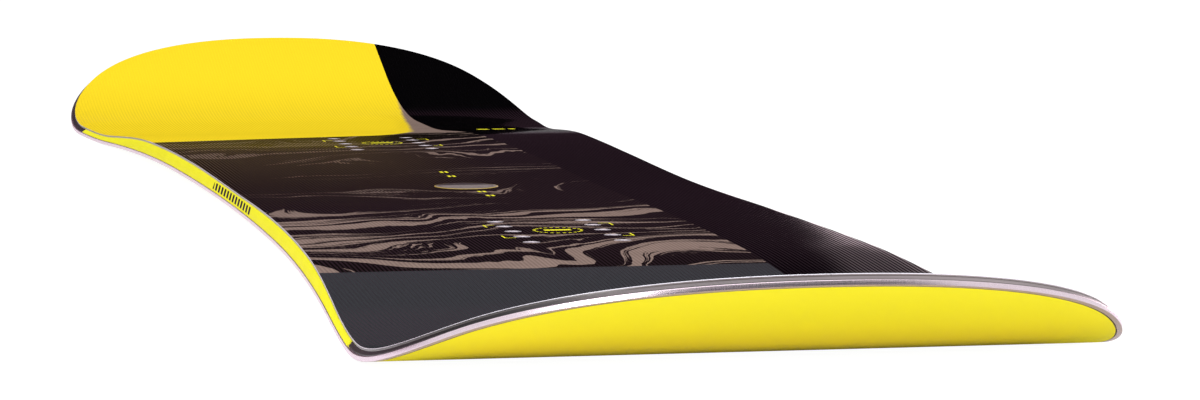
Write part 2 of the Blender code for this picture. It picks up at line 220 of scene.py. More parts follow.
# Gloss cards: their sizes and middles, and the flag's window as spans of y, which lean with height, and of z
FLAG_SIZE = (2.8, 7.0)
FLAG_MIDDLE = (-3.0, 0.0, 1.4)
FRONT_CARD_SIZE = (2.8, 7.4)
FRONT_CARD_MIDDLE = (3.4, 0.5, 2.1)
PANE_LEAN = 0.32
PANE_BORDER = (0.860, 0.893)
PANE_DIMMING = (0.42, 0.53)
HALO_LEAN = 0.16
HALO_BORDER = (0.90, 0.945)
HALO_RISE = (0.44, 0.54)
WINDOW_TOP = (0.9, 1.2)
WINDOW_LIGHT = (5.3, 4.2, 4.55)

# Camera, from the photograph's perspective
CAMERA_PLACE = (2.06528, -0.39237, 0.21437)
CAMERA_YAW = math.radians(167.473)
CAMERA_PITCH = math.radians(-5.642)
CAMERA_ROLL = math.radians(-0.177)
CAMERA_LENS = 130.55
SENSOR_WIDTH = 36.0
CAMERA_REACH = (0.05, 100.0)


def smooth(u):
    """Ease from 0 at u = 0 to 1 at u = 1."""
    u = min(max(u, 0.0), 1.0)
    return u * u * (3 - 2 * u)


def grey(level):
    return (level, level, level)


def toned(color, factor):
    """The colour, darker or brighter by a factor."""
    return tuple(channel * factor for channel in color)


def profile(s):
    """Place and slope angle of the base at a distance s along it from the middle of the board."""
    a = abs(s)
    steepest = 2 * CAMBER_HEIGHT / (CONTACT - CAMBER_START)
    x, z, slope, turn = a, 0.0, 0.0, 0.0
    if a < CAMBER_START:
        z = CAMBER_HEIGHT
    elif a < CAMBER_TURN:
        slope = -steepest * (a - CAMBER_START) / (CAMBER_TURN - CAMBER_START)
        z = CAMBER_HEIGHT + slope * (a - CAMBER_START) / 2
    elif a < CONTACT:
        slope = -steepest * (CONTACT - a) / CONTACT_BLEND
        z = -slope * (CONTACT - a) / 2
    if a > KICK_START:
        turn = min((a - KICK_START) / KICK_RADIUS, KICK_ANGLE)
        straight = max(a - KICK_END, 0.0)
        x = KICK_START + KICK_RADIUS * math.sin(turn) + straight * math.cos(turn)
        z = KICK_RADIUS * (1 - math.cos(turn)) + straight * math.sin(turn)
    side = -1.0 if s < 0 else 1.0
    return side * x, z, side * (math.atan(slope) + turn)


def bend(s, y, h):
    """Point of the finished board for a point of the flat drawing."""
    x, z, angle = profile(s)
    return Vector((x - h * math.sin(angle), y, z + h * math.cos(angle)))


def core_top(s):
    a = abs(s)
    middle = CORE_MIDDLE + (CORE_UNDERFOOT - CORE_MIDDLE) * smooth(a / UNDERFOOT_START)
    return CORE_LOW + middle + (CORE_TIP - middle) * smooth((a - TAPER_START) / TAPER_LENGTH)


def laminate_low(s):
    return core_top(s) + RESIN - SEAM


def topsheet_low(s):
    return laminate_low(s) + TOP_LAMINATE


def board_top(s):
    return topsheet_low(s) + TOPSHEET + SEAM


def tip_point(phi):
    """Outline point of the nose on the left, for phi from 0 at the sidecut to a quarter turn at the end."""
    s = TIP_START + TIP_LENGTH * math.sin(phi) ** (2 / TIP_FULLNESS)
    width = WAIST_WIDTH / 2 + s * s / (2 * SIDECUT_RADIUS)
    return s, width * max(math.cos(phi), 0.0) ** (2 / TIP_SQUARENESS)


def outline_places():
    """Left half of the outline from tail to nose: s, y and the direction inwards."""
    places = []
    for i in range(MIDDLE_STEPS + 1):
        s = TIP_START * i / MIDDLE_STEPS
        slope = s / SIDECUT_RADIUS
        size = math.hypot(1.0, slope)
        places.append((s, WAIST_WIDTH / 2 + s * s / (2 * SIDECUT_RADIUS), slope / size, -1 / size))
    for i in range(1, TIP_STEPS):
        phi = math.pi / 2 * (i / TIP_STEPS) ** TIP_SPACING
        step = 1e-4 * phi
        before, after = tip_point(phi - step), tip_point(phi + step)
        ds, dy = after[0] - before[0], after[1] - before[1]
        size = math.hypot(ds, dy)
        places.append((*tip_point(phi), dy / size, -ds / size))
    places.append((HALF_LENGTH, 0.0, -1.0, 0.0))
    return [(-s, y, -inward_s, inward_y) for s, y, inward_s, inward_y in reversed(places[1:])] + places


OUTLINE = outline_places()


def path_lengths():
    """Distance run along the outline to each of its places, measured from the tail."""
    runs = [0.0]
    for before, after in zip(OUTLINE, OUTLINE[1:]):
        runs.append(runs[-1] + math.hypot(after[0] - before[0], after[1] - before[1]))
    return runs


RUNS = path_lengths()


def placed(name, data):
    """A new object with the given data, in the scene."""
    made = bpy.data.objects.new(name, data)
    bpy.context.scene.collection.objects.link(made)
    return made


def add_piece(name, mesh, finishes, slot, *nodes):
    """A piece of the board that rides on its body and stands for the named nodes."""
    piece = placed(name, mesh)
    if not mesh.materials:
        for finish in finishes:
            mesh.materials.append(finish)
    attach(piece, "root")
    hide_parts(*nodes)


def write_vectors(mesh, name, vectors):
    layer = mesh.attributes.new(name, "FLOAT_VECTOR", "POINT")
    layer.data.foreach_set("vector", [value for vector in vectors for value in vector])


def closed_mesh(name, points, faces, slots):
    """Mesh with a finish slot for each face and with its faces turned outwards."""
    mesh = bpy.data.meshes.new(name)
    mesh.from_pydata(points, [], faces)
    mesh.polygons.foreach_set("material_index", slots)
    shape = bmesh.new()
    shape.from_mesh(mesh)
    bmesh.ops.recalc_face_normals(shape, faces=shape.faces)
    shape.to_mesh(mesh)
    shape.free()
    return mesh


def loft(name, rings, runs, finish_of_side=None):
    """Closed flat mesh through a row of like rings of drawing points, kept with the run along the outline."""
    count = len(rings[0])
    points = [point for ring in rings for point in ring]
    faces = []
    slots = []
    for first in range(len(rings) - 1):
        for i in range(count):
            j = (i + 1) % count
            low, high = first * count, (first + 1) * count
            faces.append((low + i, low + j, high + j, high + i))
            slots.append((finish_of_side or {}).get(i, 0))
    faces.append(tuple(range(count)))
    faces.append(tuple(range((len(rings) - 1) * count, len(rings) * count)))
    slots += [0, 0]
    along = []
    for ring, run in zip(rings, runs):
        around = 0.0
        for k, point in enumerate(ring):
            before = ring[k - 1] if k else point
            around += math.dist(before, point)
            along.append((run, around, 0.0))
    mesh = closed_mesh(name, points, faces, slots)
    write_vectors(mesh, "grain", along)
    return mesh


def lay(mesh):
    """Bends a flat mesh to the board's profile and keeps its drawing coordinates."""
    flat = [vertex.co.copy() for vertex in mesh.vertices]
    write_vectors(mesh, "drawing", flat)
    for vertex, point in zip(mesh.vertices, flat):
        vertex.co = bend(*point)
    mesh.update()
    mesh.shade_smooth()
    mesh.set_sharp_from_angle(angle=LAYER_SHARP)
    return mesh


def height_at(height, s):
    return height(s) if callable(height) else height


def half_rings(section, side, keep, end_half):
    """Rings of a section along one side: each corner of the section is an inset and a height."""
    rings, runs = [], []
    for (s, y, inward_s, inward_y), run in zip(OUTLINE, RUNS):
        if keep and not keep(s):
            continue
        ring = []
        for inset, height in section:
            place = s + inset * inward_s
            across = max(y + inset * inward_y, end_half)
            ring.append((place, side * across, height_at(height, place)))
        rings.append(ring)
        runs.append(run)
    return rings, runs


def rail(name, section, side, keep=None, end_half=0.0, finish_of_side=None):
    """Length along one side of the board."""
    rings, runs = half_rings(section, side, keep, end_half)
    return lay(loft(name, rings, runs, finish_of_side))


def sheet(name, section, keep=None, finish_of_side=None):
    """Flat layer across the board: the section lists its left rim upwards, and the right one mirrors it."""
    left, runs = half_rings(section, 1, keep, SHEET_END_HALF)
    right, _ = half_rings(section, -1, keep, SHEET_END_HALF)
    rings = [a + b[::-1] for a, b in zip(left, right)]
    return loft(name, rings, runs, finish_of_side)


def between(low, high):
    """Keeps the cross sections whose place is from low to high, for pieces that end at a straight cut."""
    return lambda s: low <= s <= high


def turned(name, outline, frame_matrix, segments=ROUND_SEGMENTS, finish_of_side=None):
    """Turned piece: its outline runs from the axis at the top down the outside and back to the axis."""
    points, rings, faces, slots = [], [], [], []
    for radius, height in outline:
        if radius == 0.0:
            rings.append([len(points)])
            points.append(Vector((0, 0, height)))
            continue
        rings.append(list(range(len(points), len(points) + segments)))
        for i in range(segments):
            angle = 2 * math.pi * i / segments
            points.append(Vector((radius * math.cos(angle), radius * math.sin(angle), height)))
    for k, (above, below) in enumerate(zip(rings, rings[1:])):
        for i in range(segments):
            j = (i + 1) % segments
            upper = [above[i % len(above)], above[j % len(above)]]
            lower = [below[i % len(below)], below[j % len(below)]]
            faces.append(list(dict.fromkeys((upper[0], *lower, upper[1]))))
            slots.append((finish_of_side or {}).get(k, 0))
    mesh = closed_mesh(name, [frame_matrix @ point for point in points], faces, slots)
    write_vectors(mesh, "drawing", points)
    mesh.shade_smooth()
    mesh.set_sharp_from_angle(angle=TURNED_SHARP)
    return mesh


def standing_frame(s, y, h):
    """Frame on the board with its Z square to the surface at s."""
    _, _, angle = profile(s)
    turn = Matrix.Rotation(-angle, 4, "Y")
    return Matrix.Translation(bend(s, y, h)) @ turn


class Value:
    """A number that varies over a surface: an output socket on which Python's operators add Math nodes."""

    def __init__(self, graph, socket):
        self.graph = graph
        self.socket = socket

    def math(self, operation, *others):
        values = dict(enumerate((self, *others)))
        return self.graph.node("ShaderNodeMath", {"operation": operation}, values)

    def __add__(self, other):
        return self.math("ADD", other)

    def __sub__(self, other):
        return self.math("SUBTRACT", other)

    def __mul__(self, other):
        return self.math("MULTIPLY", other)

    def __truediv__(self, other):
        return self.math("DIVIDE", other)

    def __rsub__(self, other):
        return self.graph.node("ShaderNodeMath", {"operation": "SUBTRACT"}, {0: other, 1: self})

    def __neg__(self):
        return 0.0 - self

    def __gt__(self, other):
        return self.math("GREATER_THAN", other)

    def __lt__(self, other):
        return self.math("LESS_THAN", other)

    def __abs__(self):
        return self.math("ABSOLUTE")

    def highest(self, other):
        return self.math("MAXIMUM", other)

    def wave(self, period):
        """Sine of the value, from -1 to 1, once in each period."""
        return (self * (2 * math.pi / period)).math("SINE")

    def repeat(self, period):
        """Share of the way through each period, from 0 to 1."""
        return (self / period).math("FRACT")

    def ease(self, low, high):
        """Smooth step from 0 at low to 1 at high."""
        settings = {"interpolation_type": "SMOOTHSTEP"}
        values = {"Value": self, "From Min": low, "From Max": high}
        return self.graph.node("ShaderNodeMapRange", settings, values)


class Graph:
    """The nodes of one material or of the world."""

    def __init__(self, tree):
        self.tree = tree

    def fill(self, socket, value):
        """Gives a socket a number, a colour or a varying value."""
        if isinstance(value, Value):
            self.tree.links.new(value.socket, socket)
        elif isinstance(value, tuple) and socket.type == "RGBA":
            socket.default_value = (*value, 1.0)
        else:
            socket.default_value = value

    def node(self, kind, settings=None, values=None, output=0):
        made = self.tree.nodes.new(kind)
        for key, value in (settings or {}).items():
            setattr(made, key, value)
        for key, value in (values or {}).items():
            self.fill(made.inputs[key], value)
        return Value(self, made.outputs[output])

    def parts(self, vector):
        """The three components of a vector."""
        first = self.node("ShaderNodeSeparateXYZ", values={0: vector})
        return [Value(self, output) for output in first.socket.node.outputs]

    def drawing(self, name="drawing"):
        """The drawing coordinates of the surface, as three values."""
        return self.parts(self.node("ShaderNodeAttribute", {"attribute_name": name}, output="Vector"))

    def room(self):
        """The object's own coordinates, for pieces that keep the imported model's shape and for the studio."""
        return self.node("ShaderNodeTexCoord", output="Object")

    def vector(self, x, y, z):
        return self.node("ShaderNodeCombineXYZ", values={0: x, 1: y, 2: z})

    def scaled(self, vector, scale):
        return self.node("ShaderNodeVectorMath", {"operation": "MULTIPLY"}, {0: vector, 1: scale})

    def noise(self, vector, scale, detail, roughness=0.5, distortion=0.0, output="Fac"):
        values = {"Vector": vector, "Scale": scale, "Detail": detail, "Roughness": roughness}
        values["Distortion"] = distortion
        return self.node("ShaderNodeTexNoise", values=values, output=output)

    def grain(self, u, v, scale, detail, roughness, seed=0.0):
        """Noise over two values. Where they are stretched beforehand, the scale is 1 and lines appear."""
        return self.noise(self.vector(u, v, seed), scale, detail, roughness)

    def layers(self, flow, scale, detail, roughness):
        """Noise along one value, for inks that lie in layers along a flow."""
        values = {"W": flow, "Scale": scale, "Detail": detail, "Roughness": roughness}
        return self.node("ShaderNodeTexNoise", {"noise_dimensions": "1D"}, values, output="Fac")

    def shifted(self, vector, scale, amount):
        """The vector moved about by smooth noise, up to half the amount each way."""
        noise = self.noise(vector, scale, 1.0, output="Color")
        half = -amount / 2
        values = {0: noise, 1: (amount, amount, 0.0), 2: (half, half, 0.0)}
        shift = self.node("ShaderNodeVectorMath", {"operation": "MULTIPLY_ADD"}, values)
        return self.node("ShaderNodeVectorMath", {"operation": "ADD"}, {0: vector, 1: shift})

    def mix(self, share, low, high):
        """Colour between two, by the share of the second."""
        values = {0: share, 6: low, 7: high}
        return self.node("ShaderNodeMix", {"data_type": "RGBA"}, values, output=2)


class Finish(Graph):
    """One material: a Principled shader, and the nodes that vary its colour, roughness and relief."""

    def __init__(self, name, **sockets):
        self.material = bpy.data.materials.new(name)
        self.material.use_nodes = True
        super().__init__(self.material.node_tree)
        self.shader = self.tree.nodes["Principled BSDF"]
        for key, value in sockets.items():
            self.set(key.replace("_", " "), value)

    def set(self, key, value):
        """Sets a socket of the shader by its name."""
        names = {"color": "Base Color", "ior level": "Specular IOR Level"}
        self.fill(self.shader.inputs[names.get(key, key.title())], value)

    def relief(self, height, distance):
        values = {"Height": height, "Distance": distance, "Strength": 1.0}
        self.set("normal", self.node("ShaderNodeBump", values=values))


def band(value, low, high):
    """1 from low to high."""
    return (value > low) * (value < high)


def box_mask(u, v, low, high):
    """1 inside a box of two drawing coordinates."""
    return band(u, low[0], high[0]) * band(v, low[1], high[1])


def marble_mask(f, s, y):
    """Share of the pale ink in the marbling: drawn-out veins, dense round the inserts and sparse between."""
    place = f.vector(s, y, 3.7)
    bent = place
    for scale, reach in SWIRLS:
        bent = f.shifted(bent, scale, reach)
    flow = f.parts(bent)[0] + y * FLOW_SLANT
    layers = f.layers(flow, LAYER_SCALE, 4.0, 0.66)
    veins = f.layers(flow + 4.0, VEIN_SCALE, 2.0, 0.5)
    grain = f.grain(flow * 6.0, y, GRAIN_SCALE, 3.0, 0.7, seed=2.0)
    patch = f.noise(place, PATCH_SCALE, 1.0)
    round_packs = abs(s + STANCE_SETBACK).ease(0.07, 0.17)
    rearwards = (-s).ease(0.05, 0.16)
    level = layers + (veins - 0.5) * 0.28 + (grain - 0.5) * 0.18 + (patch - 0.5) * 0.34
    return (level + round_packs * 0.096 - rearwards * 0.012).ease(*PALE_FRINGE)


def tail_mask(f, s, y):
    """Share of the yellow at the tail: its border runs back beside the black band and fades there."""
    past = (y - TAIL_CURVE_START).highest(0.0)
    border = y * TAIL_SLANT + TAIL_BORDER - past * past * past * TAIL_CURVE
    fade = past.ease(0.02, 0.05) * 0.03 + 0.0004
    ragged = (f.grain(s, y, 160.0, 3.0, 0.7, seed=6.0) - 0.5) * fade
    return ((border + ragged - s) / fade).ease(-0.5, 0.5)


def print_marks(s, y):
    """Small yellow prints: brackets at the reference inserts, a ring of ticks in each pack and plain bars."""
    along = s - ((s > 0.0) * (FRONT_PAD - REAR_PAD) + REAR_PAD)
    u, v = abs(along), abs(y)
    marks = box_mask(u, v, BRACKET_SIDE, BRACKET_CORNER)
    marks = marks.highest(box_mask(u, v, BRACKET_END, BRACKET_CORNER))
    radius = (along * along + y * y).math("SQRT")
    angle = y.math("ARCTAN2", along)
    ticks = angle.repeat(2 * math.pi / TICK_COUNT) < TICK_SHARE
    marks = marks.highest(ticks * band(radius, *TICK_RING))
    bar = (abs(along - PACK_BAR_MIDDLE) < PACK_BAR_HALF[0]) * (v < PACK_BAR_HALF[1])
    from_pairs = abs(abs(s - PAIRS_MIDDLE) - PAIRS_DISTANCE)
    pairs = band(from_pairs, *PAIRS_SPAN) * (abs(y - PAIRS_OFFSET) < PAIRS_HALF)
    pairs = pairs * (y.repeat(PAIRS_PITCH) < PAIRS_SHARE)
    dashes = box_mask(s, y, *DASHES) * ((y - DASHES[0][1]).repeat(DASH_PITCH) < DASH_SHARE)
    return marks.highest(bar).highest(pairs).highest(dashes)


def marbling(f, s, y):
    """The two inks of the marbling, and the plain field in front of it."""
    mottle = f.grain(s, y, 60.0, 3.0, 0.6, seed=1.0)
    dark = f.mix(mottle, MARBLE_DARK, toned(MARBLE_DARK, 1.5))
    pale = f.mix(mottle, toned(MARBLE_TAUPE, 0.82), toned(MARBLE_TAUPE, 1.2))
    ground = f.mix(s < TAIL_BLOCK - 0.05, dark, pale)
    color = f.mix(marble_mask(f, s, y), ground, pale)
    return f.mix(s > NOSE_BLOCK, color, CHARCOAL)


def woven(f, s, y, color, threads, crossings):
    """Print under the glass cloth, darker on its threads, with a painted reflection of the tail at the left
    rear.
    """
    color = f.mix(threads.ease(-1.0, 1.0) * 0.3, color, f.scaled(color, grey(0.4)))
    # Painted reflection of the yellow tail: gold on the raised threads, darker in the gaps between them
    gold_reflection_area = (-s).ease(-0.16, 0.0) * (-y).ease(-0.045, 0.04)
    raised = (threads + crossings * 0.4).ease(-0.5, 0.6)
    gold_reflection_share = (-s).ease(-0.06, 0.24) * 0.5 + 0.06
    color = f.mix(gold_reflection_area * raised * gold_reflection_share, color, GOLD_REFLECTION)
    return f.mix(gold_reflection_area * (1 - raised) * 0.95, color, WEAVE_GAP)


def topsheet_finish():
    """Printed sheet with a clear gloss that the cloth beneath makes uneven; it is duller before the tail."""
    f = Finish("topsheet_print", ior_level=0.0, coat_roughness=0.07)
    s, y, _ = f.drawing()
    threads = y.wave(WEAVE_PITCH)
    crossings = threads * s.wave(WEAVE_PITCH)
    tail = tail_mask(f, s, y)
    color = woven(f, s, y, marbling(f, s, y), threads, crossings)
    color = f.mix(tail, color, PRINT_YELLOW)
    color = f.mix(y > SIDE_BAND, color, INK_BLACK)
    f.set("color", f.mix(print_marks(s, y), color, MARK_YELLOW))
    uneven = f.grain(s, y, 420.0, 2.0, 0.5, seed=8.0)
    f.relief(crossings + threads * 0.6 + uneven * 0.5, 0.00004)
    wear = f.grain(s, y, 35.0, 4.0, 0.65, seed=5.0)
    f.set("roughness", wear * 0.16 + 0.2)
    dull = (-s).ease(0.215, 0.265) * (y < SIDE_BAND) * (1 - tail) * 0.65
    gloss = (threads + crossings * 0.3 + uneven * 0.3).ease(-0.25, 1.1) * 0.33
    f.set("coat weight", gloss * (1 - dull))
    return f.material


def rim_finish():
    """Cut and polished edge of the clear topsheet, which shows the print's colour where it is bright."""
    f = Finish("topsheet_rim", roughness=0.22, coat_roughness=0.05)
    s, y, _ = f.drawing()
    tail = (s < TAIL_BLOCK) * (y < SIDE_BAND)
    # Pale lilac, and over the tail a yellow brighter than the print: partly the clear edge's own, partly a
    # painted highlight
    color = f.mix(tail, RIM_LILAC_HIGHLIGHT, (0.95, 0.80, 0.02))
    inked = (s < KICK_START) * (y > SIDE_BAND)
    color = f.mix(inked, color, (0.03, 0.025, 0.028))
    scuff = f.grain(s, y, 700.0, 3.0, 0.7)
    f.set("color", f.mix(scuff * (1 - inked) * 0.35, color, (0.34, 0.30, 0.33)))
    f.set("coat weight", 0.5 - inked * 0.45)
    f.relief(scuff, 0.00001)
    return f.material


def painted_side_light(y):
    """Share of painted light on the tips' edge: it is paler towards the board's left, where the light falls.
    """
    return y.ease(-0.105, -0.065) * 0.6 + y.ease(-0.02, 0.05) * 0.4


def core_of_sheet_finish():
    """Lower part of the topsheet's edge, where its milky plastic takes the tone of the layers beneath."""
    f = Finish("topsheet_body", roughness=0.35, coat_weight=0.1)
    run, around, _ = f.drawing("grain")
    _, y, _ = f.drawing()
    lines = f.grain(run * 20.0, around * 2600.0, 1.0, 3.0, 0.65)
    body = f.mix(lines, (0.13, 0.10, 0.105), (0.26, 0.205, 0.215))
    # Painted light: the edge is paler towards the board's left
    f.set("color", f.mix(painted_side_light(y), SPACER_BLACK, body))
    f.relief(lines, 0.00001)
    return f.material


def seam_finish():
    """Margin of the base beside the steel, dull brown with a fine speckle."""
    f = Finish("ground_seam", roughness=0.6, ior_level=0.1)
    s, y, _ = f.drawing()
    brown_speckle = f.grain(s, y, 500.0, 3.0, 0.7)
    f.set("color", f.mix(brown_speckle, (0.20, 0.15, 0.035), (0.13, 0.10, 0.035)))
    f.relief(brown_speckle, 0.00001)
    return f.material


def laminate_finish(name):
    """Glass fibre in resin: a crossed weave, stained by what lies beside it at the rim."""
    f = Finish(name, roughness=0.4, coat_weight=0.3)
    s, y, _ = f.drawing()
    diagonal = (s + y).wave(LAMINATE_PITCH) * (s - y).wave(LAMINATE_PITCH)
    glass = f.mix(diagonal * 0.5 + 0.5, (0.42, 0.47, 0.36), (0.60, 0.63, 0.50))
    tip = abs(s).ease(CORE_END - 0.001, CORE_END)
    stained = f.mix(tip, (0.50, 0.44, 0.06), (0.055, 0.042, 0.040))
    rim = abs(y) > LAMINATE_STAIN
    f.set("color", f.mix(rim.highest(tip), glass, stained))
    f.relief(diagonal, 0.00003)
    return f.material


def sidewall_finish():
    f = Finish("sidewall_abs", ior_level=0.0, coat_weight=0.08, coat_roughness=0.25)
    s, y, h = f.drawing()
    run, around, _ = f.drawing("grain")
    lines = f.grain(run * 14.0, around * 2200.0, 1.0, 3.0, 0.6)
    tone = f.grain(s, h, 40.0, 3.0, 0.6, seed=2.0)
    color = f.mix(tone, PLASTIC_YELLOW, toned(PLASTIC_YELLOW, 0.86))
    bars = (s + h * SIDE_BAR_LEAN).repeat(SIDE_BAR_PITCH) < SIDE_BAR_SHARE
    bars = bars * box_mask(s, h, *SIDE_BARS) * (y < 0.0)
    f.set("color", f.mix(bars, color, (0.02, 0.014, 0.03)))
    f.set("roughness", lines * 0.2 + 0.3)
    f.relief(lines, 0.00002)
    return f.material


def spacer_finish():
    f = Finish("spacer_abs", ior_level=0.15, coat_weight=0.1, coat_roughness=0.2)
    run, around, _ = f.drawing("grain")
    s, y, height = f.drawing()
    lines = f.grain(run * 20.0, around * 2600.0, 1.0, 3.0, 0.65)
    plastic = f.mix(lines, (0.05, 0.039, 0.041), (0.32, 0.26, 0.27))
    # Painted light: the nose spacer is paler towards the board's left; the tail's stays black
    plastic = f.mix(painted_side_light(y), SPACER_BLACK, plastic)
    plastic = f.mix(s < 0.0, plastic, SPACER_BLACK)
    # Painted shade: the spacer is near black in its lowest 0.6 mm, just above the steel
    above_painted_shade = height.ease(EDGE_HEIGHT, EDGE_HEIGHT + 0.0006)
    f.set("color", f.mix(above_painted_shade, (0.02, 0.016, 0.016), plastic))
    f.set("roughness", lines * 0.25 + 0.28)
    f.relief(lines, 0.00003)
    return f.material


def edge_finish():
    """Ground steel: fine lines along the edge, with the grinder's cross marks at right angles to it."""
    f = Finish("ground_edge", metallic=1.0)
    run, around, _ = f.drawing("grain")
    along = f.grain(run * 30.0, around * 5200.0, 1.0, 4.0, 0.65)
    across = f.grain(run * 2600.0, around * 300.0, 1.0, 2.0, 0.5)
    lines = along * 0.88 + across * 0.12
    f.set("color", f.mix(lines, toned(EDGE_STEEL, 0.86), toned(EDGE_STEEL, 1.1)))
    f.set("roughness", lines * 0.22 + 0.16)
    f.relief(lines, 0.000012)
    return f.material


def base_side_finish():
    """Base side of the steel, stone ground flush with the polyethylene: duller, and darker and browner as a
    painted reflection of the shaded floor.
    """
    f = Finish("stone_ground_edge", metallic=1.0)
    s, y, _ = f.drawing()
    grooves = f.grain(s * 300.0, y * 2400.0, 1.0, 3.0, 0.65)
    # Painted reflection of the shaded floor: darker and browner than the steel's sides
    f.set("color", f.mix(grooves, (0.44, 0.35, 0.36), (0.33, 0.26, 0.25)))
    f.set("roughness", grooves * 0.2 + 0.3)
    f.relief(grooves, 0.000012)
    return f.material


def base_finish():
    """Sintered polyethylene with a stone-ground structure along the board, waxed."""
    f = Finish("sintered_base", ior_level=0.0, coat_weight=0.07, coat_roughness=0.2)
    s, y, _ = f.drawing()
    structure = f.grain(s * 9.0, y * 2400.0, 1.0, 3.0, 0.6)
    cloud = f.grain(s, y, 18.0, 4.0, 0.6)
    f.set("color", f.mix(cloud, BASE_YELLOW, toned(BASE_YELLOW, 0.96)))
    f.set("roughness", structure * 0.2 + 0.28)
    f.relief(structure, 0.000012)
    return f.material


def rubber_finish():
    f = Finish("damping_rubber", roughness=0.8)
    s, y, _ = f.drawing()
    grain = f.grain(s, y, 900.0, 3.0, 0.7)
    f.set("color", f.mix(grain, (0.018, 0.018, 0.018), (0.05, 0.05, 0.048)))
    f.set("roughness", grain * 0.2 + 0.68)
    f.relief(grain, 0.00004)
    return f.material


def wood_finish(name, pale, dark, ring_scale):
    """Planed stringer: growth rings that run along the board, with pores."""
    f = Finish(name, coat_weight=0.05)
    bent = f.shifted(f.scaled(f.room(), (0.6, 14.0, 14.0)), 1.2, 0.7)
    rings = f.noise(bent, ring_scale, 3.0, 0.6, 0.8)
    pores = f.noise(f.scaled(f.room(), (60.0, 2400.0, 2400.0)), 1.0, 2.0, 0.5)
    f.set("color", f.mix(rings.ease(0.35, 0.68), pale, dark))
    f.set("roughness", pores * 0.25 + 0.42)
    f.relief(pores + rings, 0.00006)
    return f.material


def mat_finish():
    """Reinforcing mat under the inserts: open cross-woven glass."""
    f = Finish("glass_mat", roughness=0.5)
    x, y, _ = f.parts(f.room())
    weave = x.wave(MAT_PITCH) * y.wave(MAT_PITCH)
    f.set("color", f.mix(weave * 0.5 + 0.5, (0.50, 0.54, 0.42), (0.72, 0.74, 0.62)))
    f.relief(weave, 0.00006)
    return f.material


def insert_finish():
    f = Finish("insert_steel", metallic=1.0)
    x, y, z = f.drawing()
    radius = (x * x + y * y).math("SQRT")
    turning = f.grain(radius * 9000.0, z * 9000.0, 1.0, 2.0, 0.6)
    f.set("color", f.mix(turning, (0.44, 0.39, 0.43), (0.62, 0.56, 0.61)))
    f.set("roughness", turning * 0.2 + 0.5)
    f.relief(turning, 0.00001)
    return f.material


def badge_finish():
    """Spun silver disc with a fine sparkle, one plain ring turned into it and a shaded rear half."""
    f = Finish("badge_silver", metallic=0.7)
    x, y, _ = f.drawing()
    radius = (x * x + y * y).math("SQRT")
    spin = f.grain(radius * 5200.0, 0.0, 1.0, 3.0, 0.7)
    sparkle = f.grain(x, y, 1500.0, 2.0, 0.7).ease(0.52, 0.7)
    groove = band(radius, 0.0126, 0.0130)
    lit = f.mix(sparkle, (0.32, 0.27, 0.26), (0.74, 0.66, 0.65))
    shaded = f.mix(sparkle, (0.014, 0.011, 0.011), (0.24, 0.20, 0.19))
    disc = f.mix(x.ease(-0.006, -0.002), shaded, lit)
    f.set("color", f.mix(groove, disc, (0.10, 0.085, 0.085)))
    f.set("roughness", spin * 0.25 + 0.28)
    f.relief(spin + sparkle, 0.00001)
    return f.material


def badge_rim_finish():
    f = Finish("badge_rim", coat_weight=0.4, coat_roughness=0.08)
    x, y, z = f.drawing()
    grain = f.noise(f.vector(x, y, z), 1800.0, 2.0, 0.6)
    f.set("color", f.mix(grain, (0.62, 0.42, 0.03), (0.50, 0.32, 0.03)))
    f.set("roughness", grain * 0.15 + 0.3)
    return f.material


def make_base():
    """Running base, with a margin of its own finish beside the steel, and the laminate that lies on it."""
    rim = EDGE_WIDTH + BASE_SEAM
    section = [(rim + BASE_MARGIN, 0.0), (rim + SOFT_EDGE, 0.0), (rim, SOFT_EDGE), (rim, BASE_THICKNESS)]
    beside_steel = {0: 1, 1: 1, 2: 1, 4: 1, 5: 1, 6: 1}
    mesh = lay(sheet("running_base", section, finish_of_side=beside_steel))
    add_piece("running_base", mesh, [base_finish(), seam_finish()], "base", "base_sheet")
    inner = [(LAMINATE_INSET, LAMINATE_LOW), (LAMINATE_INSET, EDGE_HEIGHT)]
    mesh = lay(sheet("lower_laminate", inner))
    add_piece("lower_laminate", mesh, [laminate_finish("lower_glass")], "glass", "bottom_laminate")


def make_edges():
    """Steel edges with a rounded upper corner and a flange inwards, and the foil over each flange."""
    section = [
        (EDGE_WEAR, 0.0),
        (0.0, EDGE_WEAR),
        (0.0, 0.00168),
        (0.00004, 0.00182),
        (0.00013, 0.00192),
        (0.00028, 0.00198),
        (0.00050, EDGE_HEIGHT),
        (FLANGE_INSET, EDGE_HEIGHT),
        (FLANGE_INSET, FLANGE_LOW),
        (EDGE_WIDTH, FLANGE_LOW),
        (EDGE_WIDTH, SOFT_EDGE),
        (EDGE_WIDTH - SOFT_EDGE, 0.0),
    ]
    finishes = [edge_finish(), base_side_finish()]
    underside = {0: 1, 10: 1, 11: 1}
    rubber = rubber_finish()
    strip = [
        (EDGE_WIDTH + BASE_SEAM, STRIP_LOW),
        (EDGE_WIDTH + BASE_SEAM, STRIP_HIGH),
        (FLANGE_INSET, STRIP_HIGH),
        (FLANGE_INSET, STRIP_LOW),
    ]
    inside = between(-CORE_END, CORE_END)
    for word, side in (("left", 1), ("right", -1)):
        mesh = rail("edge_" + word, section, side, end_half=EDGE_END_HALF, finish_of_side=underside)
        add_piece("edge_" + word, mesh, finishes, "edge_steel", "steel_edge_" + word)
        mesh = rail("damping_foil_" + word, strip, side, keep=inside)
        add_piece("damping_foil_" + word, mesh, [rubber], "rubber", "damping_strip_" + word)


